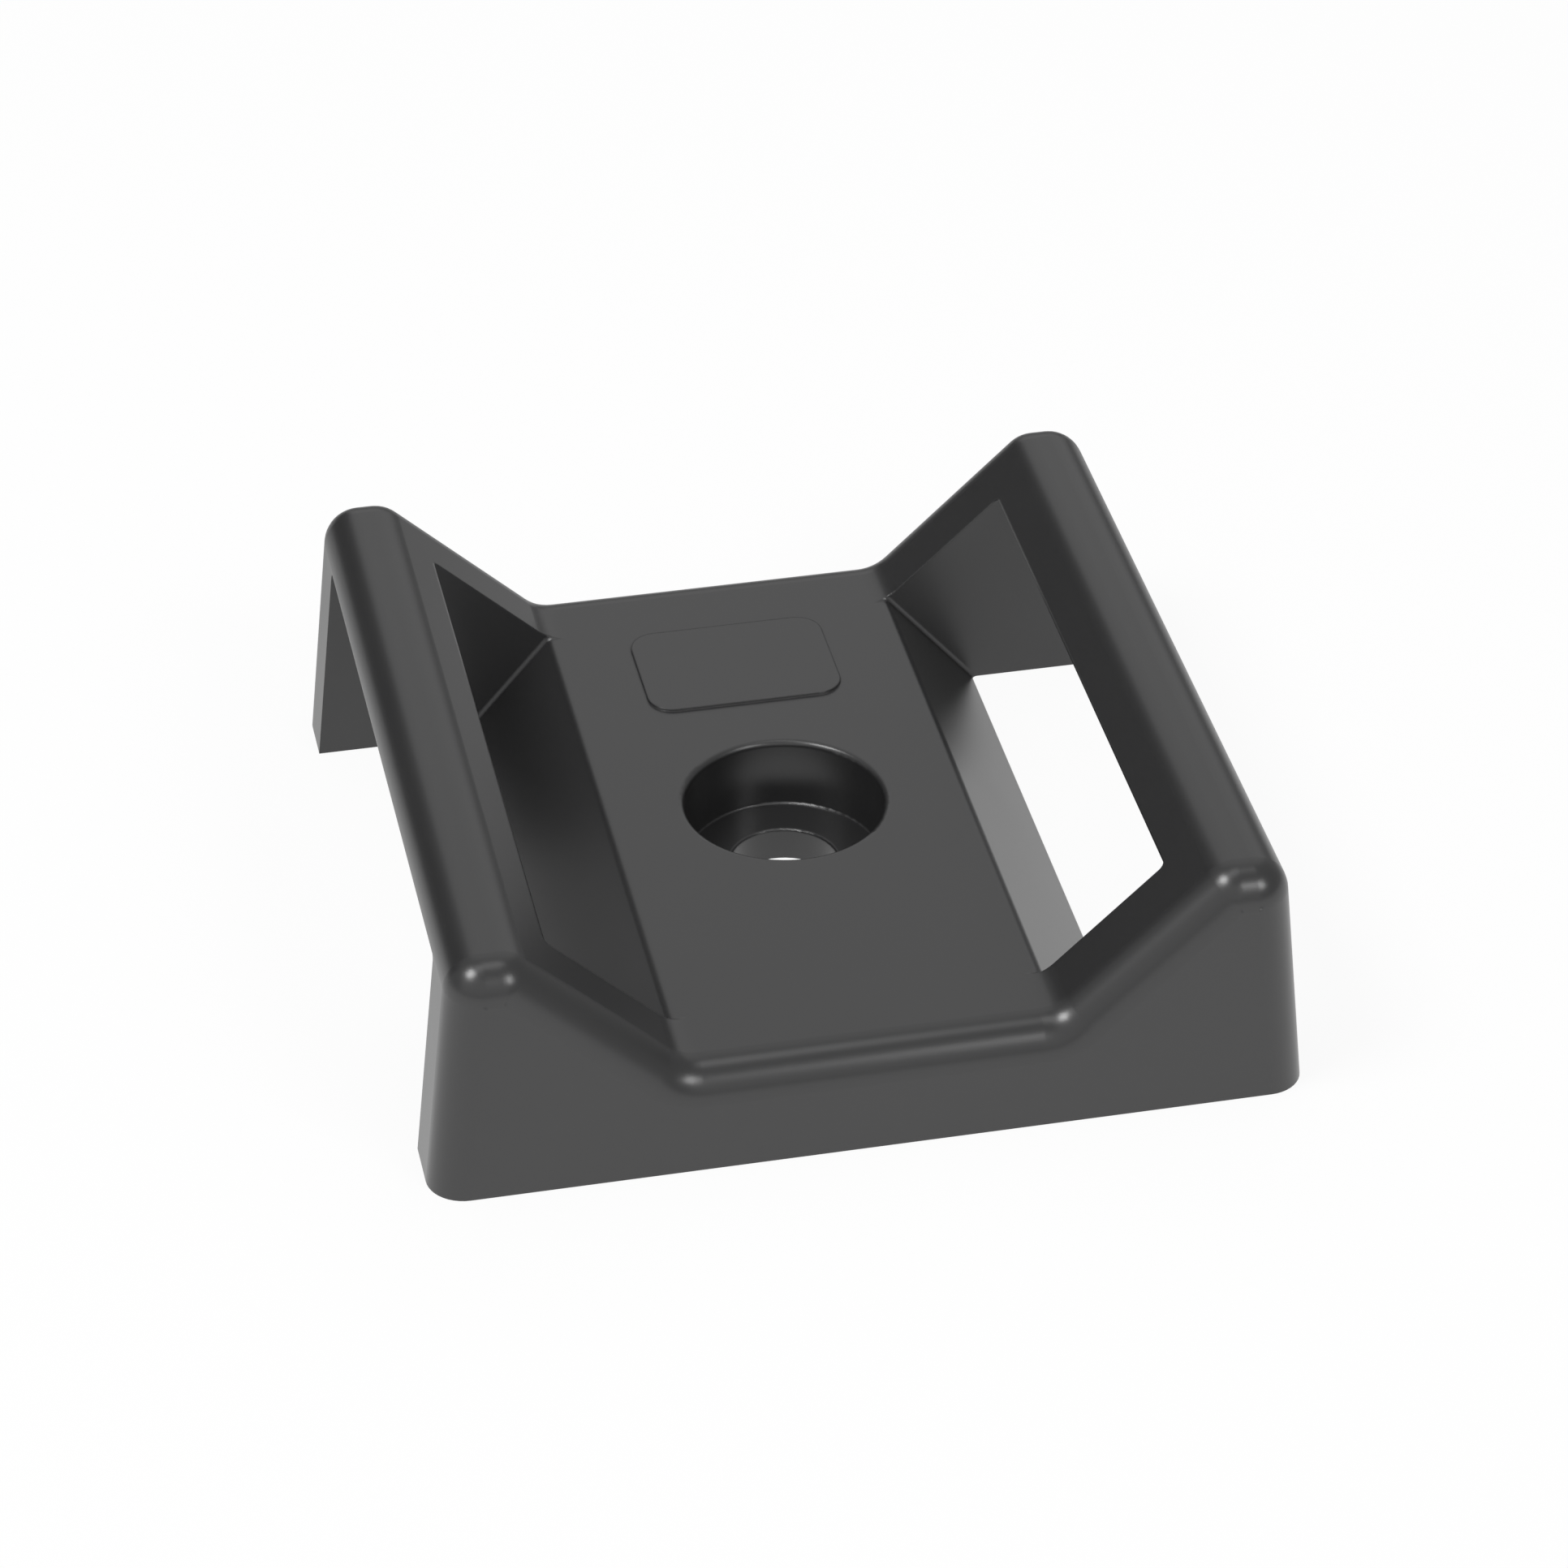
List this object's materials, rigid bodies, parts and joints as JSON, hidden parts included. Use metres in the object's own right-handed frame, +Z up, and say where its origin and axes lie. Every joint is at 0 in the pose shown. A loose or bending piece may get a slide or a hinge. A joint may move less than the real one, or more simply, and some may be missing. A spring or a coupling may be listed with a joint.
{
  "type": "cable tie mount",
  "caption": "Low screw-on saddle with a flat deck, sloping cradle sides and raised side bars that a wide cable tie is threaded under to hold a bundle.",
  "frame": {"origin": "middle of the floor face, on the screw hole's axis", "axes": "+Z up from the mounting surface along the screw; +X across the cradle, the way the cable tie runs; +Y along the bars, the way the cables lie, with the blank pad on the +Y side"},
  "size_m": [0.0382, 0.0378, 0.0115],
  "materials": {
    "moulding": "satin black, smooth moulded surface that looks dark grey under soft light"
  },
  "bodies": {
    "root": {"tie_mount": "moulding"}
  },
  "joints": []
}
